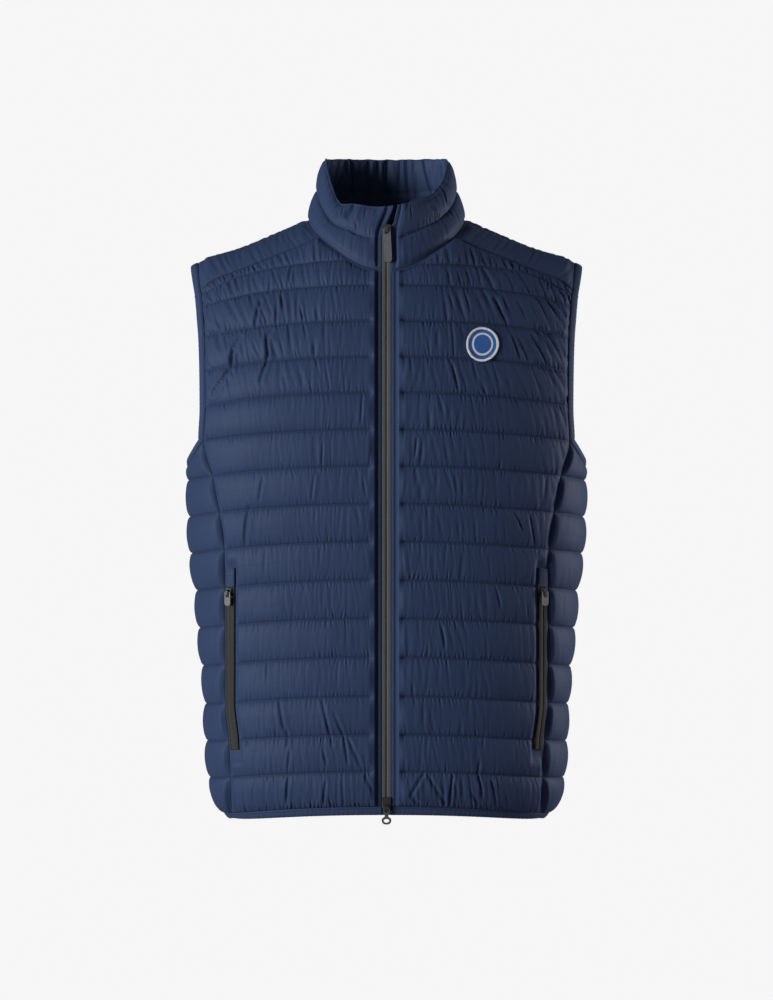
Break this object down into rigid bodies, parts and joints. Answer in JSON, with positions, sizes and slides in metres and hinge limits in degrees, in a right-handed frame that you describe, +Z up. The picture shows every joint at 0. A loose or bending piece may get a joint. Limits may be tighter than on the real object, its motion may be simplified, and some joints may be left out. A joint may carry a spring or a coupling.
{
  "type": "quilted vest",
  "caption": "Sleeveless padded vest with a stand collar, horizontal quilting, a two-way front zip, zipped hand pockets and bound armholes and hem.",
  "frame": {"origin": "middle of the neck opening, level with the shoulders where they meet the collar, midway between front and back", "axes": "+Z up, the front faces -Y, the wearer's left is at +X"},
  "size_m": [0.4574, 0.2439, 0.7644],
  "materials": {
    "shell_fabric": "lightweight woven nylon, slight sheen",
    "binding": "elastic binding",
    "zip_tape": "coated tape with a nylon coil",
    "slider_metal": "satin gunmetal",
    "pull_tab": "matte",
    "badge": "plain woven field with a pale stitched rim"
  },
  "bodies": {
    "vest": {"front_right": "shell_fabric", "front_left": "shell_fabric", "side_right": "shell_fabric", "side_left": "shell_fabric", "back": "shell_fabric", "yoke_right": "shell_fabric", "yoke_left": "shell_fabric", "collar": "shell_fabric", "armhole_binding_right": "binding", "armhole_binding_left": "binding", "hem_binding": "binding", "zip_tape_right": "zip_tape", "zip_tape_left": "zip_tape", "pocket_zip_right": "zip_tape", "pocket_zip_left": "zip_tape", "pocket_garage_right": "shell_fabric", "pocket_garage_left": "shell_fabric", "zip_slider_top": "slider_metal", "zip_slider_bottom": "slider_metal", "pocket_slider_right": "slider_metal", "pocket_slider_left": "slider_metal", "chest_patch": "badge"},
    "top_pull": {"zip_pull_top": "pull_tab"},
    "bottom_pull": {"zip_pull_bottom": "slider_metal"},
    "right_pocket_pull": {"pocket_pull_right": "pull_tab"},
    "left_pocket_pull": {"pocket_pull_left": "pull_tab"}
  },
  "joints": [
    {"name": "top_pull_swing", "type": "hinge", "parent": "vest", "child": "top_pull", "pos_m": [0, -0.07671, -0.01565], "axis": [-0.9986, -0.0102, -0.0513], "range_deg": [0, 150]},
    {"name": "bottom_pull_swing", "type": "hinge", "parent": "vest", "child": "bottom_pull", "pos_m": [0, -0.10091, -0.65677], "axis": [-1, 0, 0], "range_deg": [0, 150]},
    {"name": "right_pocket_pull_swing", "type": "hinge", "parent": "vest", "child": "right_pocket_pull", "pos_m": [-0.17664, -0.07956, -0.41976], "axis": [-0.8219, 0.5676, 0.0473], "range_deg": [0, 150]},
    {"name": "left_pocket_pull_swing", "type": "hinge", "parent": "vest", "child": "left_pocket_pull", "pos_m": [0.17664, -0.07956, -0.41976], "axis": [-0.8219, -0.5676, -0.0473], "range_deg": [0, 150]}
  ]
}
